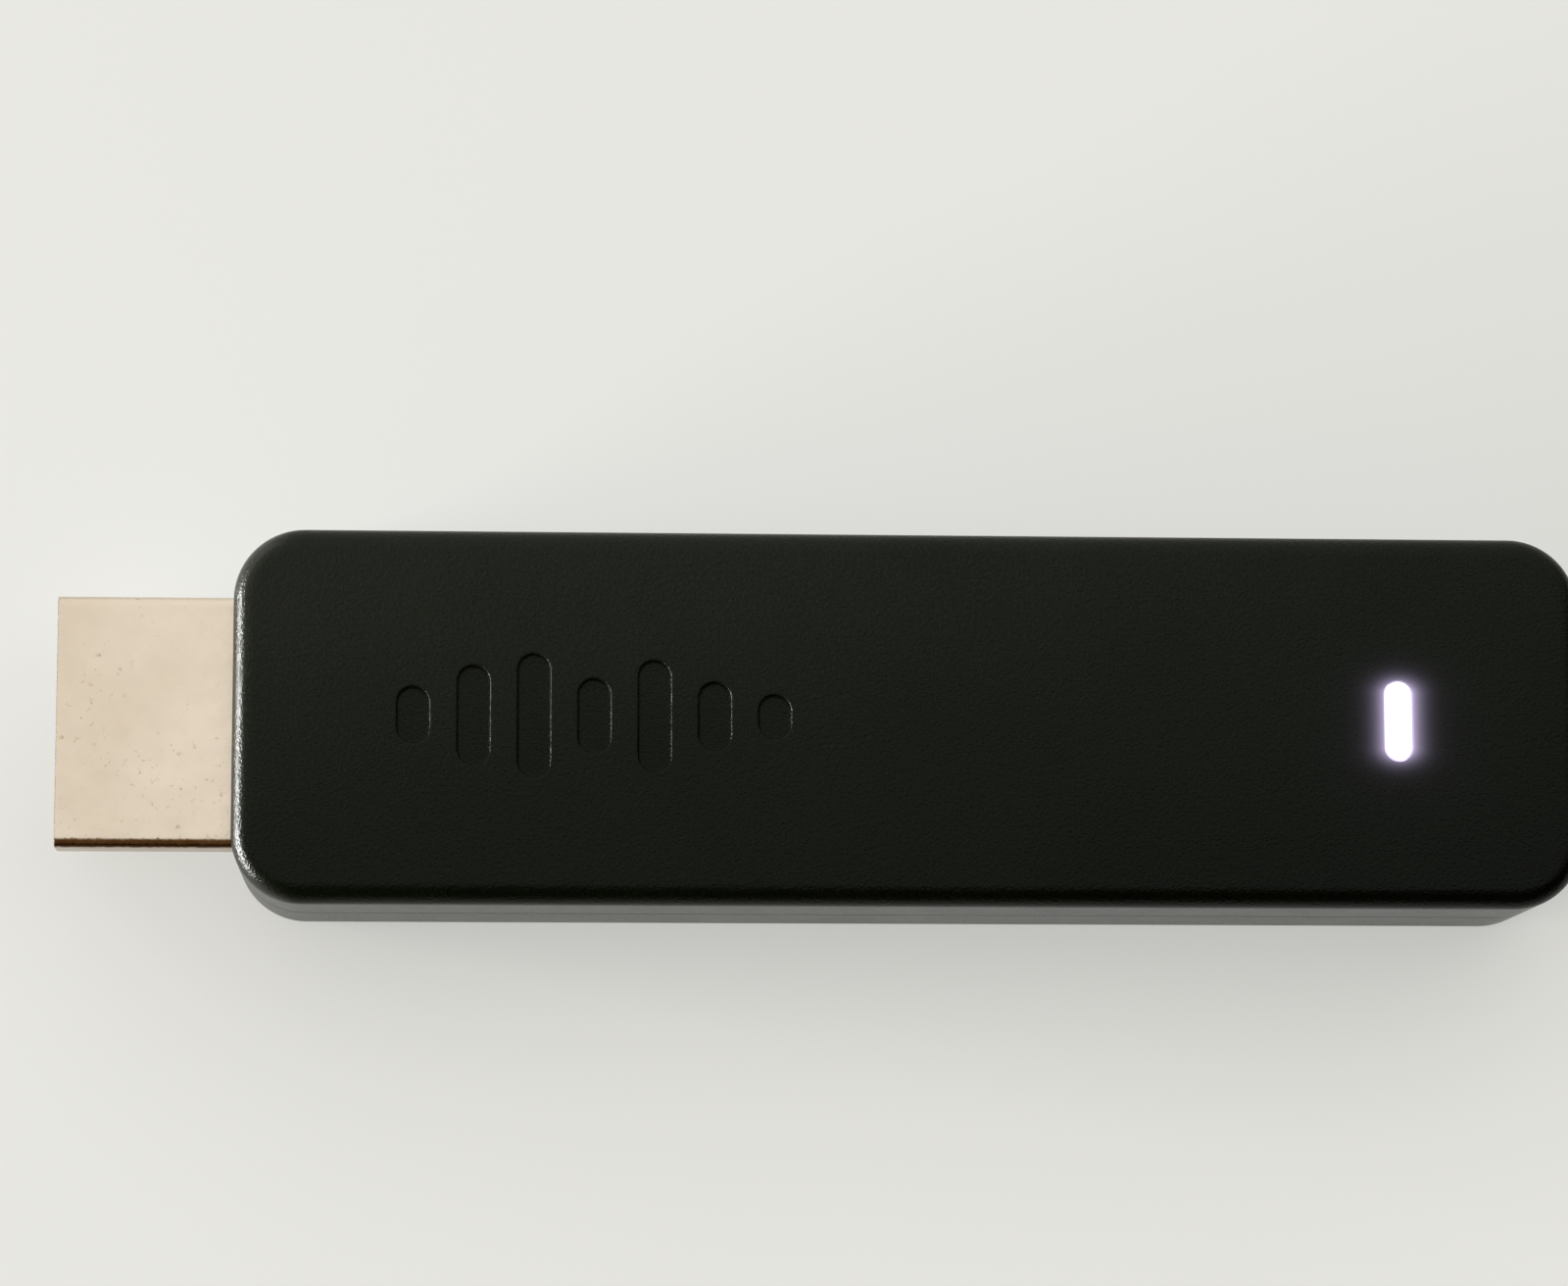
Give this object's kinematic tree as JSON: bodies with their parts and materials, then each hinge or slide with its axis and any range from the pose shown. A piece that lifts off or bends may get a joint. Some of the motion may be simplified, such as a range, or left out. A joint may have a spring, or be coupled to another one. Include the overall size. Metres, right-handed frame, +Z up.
{
  "type": "streaming media stick",
  "caption": "Slim black plastic media stick with a video plug at one end, a power socket at the other, a lit window in the roof and a small side reset button.",
  "frame": {"origin": "centre of the whole stick's box, plug included, on the plane that it lies on", "axes": "+X runs from the plug's tip to the power socket's end, +Z up out of the roof with the lit window, +Y towards the side with the reset button"},
  "size_m": [0.0838, 0.0206, 0.012],
  "materials": {
    "case_plastic": "fine spark-eroded matte black with a faint green cast",
    "button_plastic": "smooth matte black",
    "light_window": "milky translucent, lit violet-white from below",
    "black_foam": "closed-cell foam",
    "black_plastic": "moulded glass-filled nylon",
    "ivory_plastic": "smooth",
    "plug_nickel": "warm nickel plate, rolled, with faint brown spots",
    "contact_gold": "gold flash",
    "spring_steel": "bright rolled",
    "tinned_steel": "matte tin plate",
    "board_green": "satin solder mask",
    "chip_black": "moulded epoxy",
    "ferrite_grey": "pressed ferrite",
    "ceramic_tan": "fired ceramic",
    "thermal_rubber": "soft filled silicone",
    "spreader_aluminium": "stamped, plain",
    "antenna_metal": "stamped, tin washed"
  },
  "bodies": {
    "stick": {"upper_housing": "case_plastic", "lower_housing": "case_plastic", "light_pipe": "light_window", "light_gasket": "black_foam", "reset_switch_body": "black_plastic", "reset_switch_dome": "spring_steel", "reset_switch_cover": "tinned_steel", "plug_shell": "plug_nickel", "plug_insulator": "black_plastic", "plug_upper_contacts": "contact_gold", "plug_lower_contacts": "contact_gold", "circuit_board": "board_green", "processor_chip": "chip_black", "memory_chip": "chip_black", "flash_chip": "chip_black", "wireless_chip": "chip_black", "power_chip": "chip_black", "power_inductors": "ferrite_grey", "chip_capacitors": "ceramic_tan", "clock_crystal": "tinned_steel", "surge_arrays": "chip_black", "status_led": "ivory_plastic", "upper_shield_frame": "tinned_steel", "upper_shield_cover": "tinned_steel", "lower_shield_frame": "tinned_steel", "lower_shield_cover": "tinned_steel", "processor_pad": "thermal_rubber", "upper_thermal_pad": "thermal_rubber", "upper_heat_spreader": "spreader_aluminium", "lower_thermal_pad": "thermal_rubber", "lower_heat_spreader": "spreader_aluminium", "socket_shell": "tinned_steel", "socket_insulator": "black_plastic", "socket_contacts": "contact_gold", "front_antenna": "antenna_metal", "rear_antenna": "antenna_metal"},
    "button": {"reset_button": "button_plastic", "reset_switch_plunger": "ivory_plastic"}
  },
  "joints": [
    {"name": "reset_press", "type": "slide", "parent": "stick", "child": "button", "axis": [0, -1, 0], "range_m": [0, 0.0003], "stiffness_N_per_m": 4000, "springref_m": -0.0001, "deforming": ["reset_switch_dome"]}
  ]
}
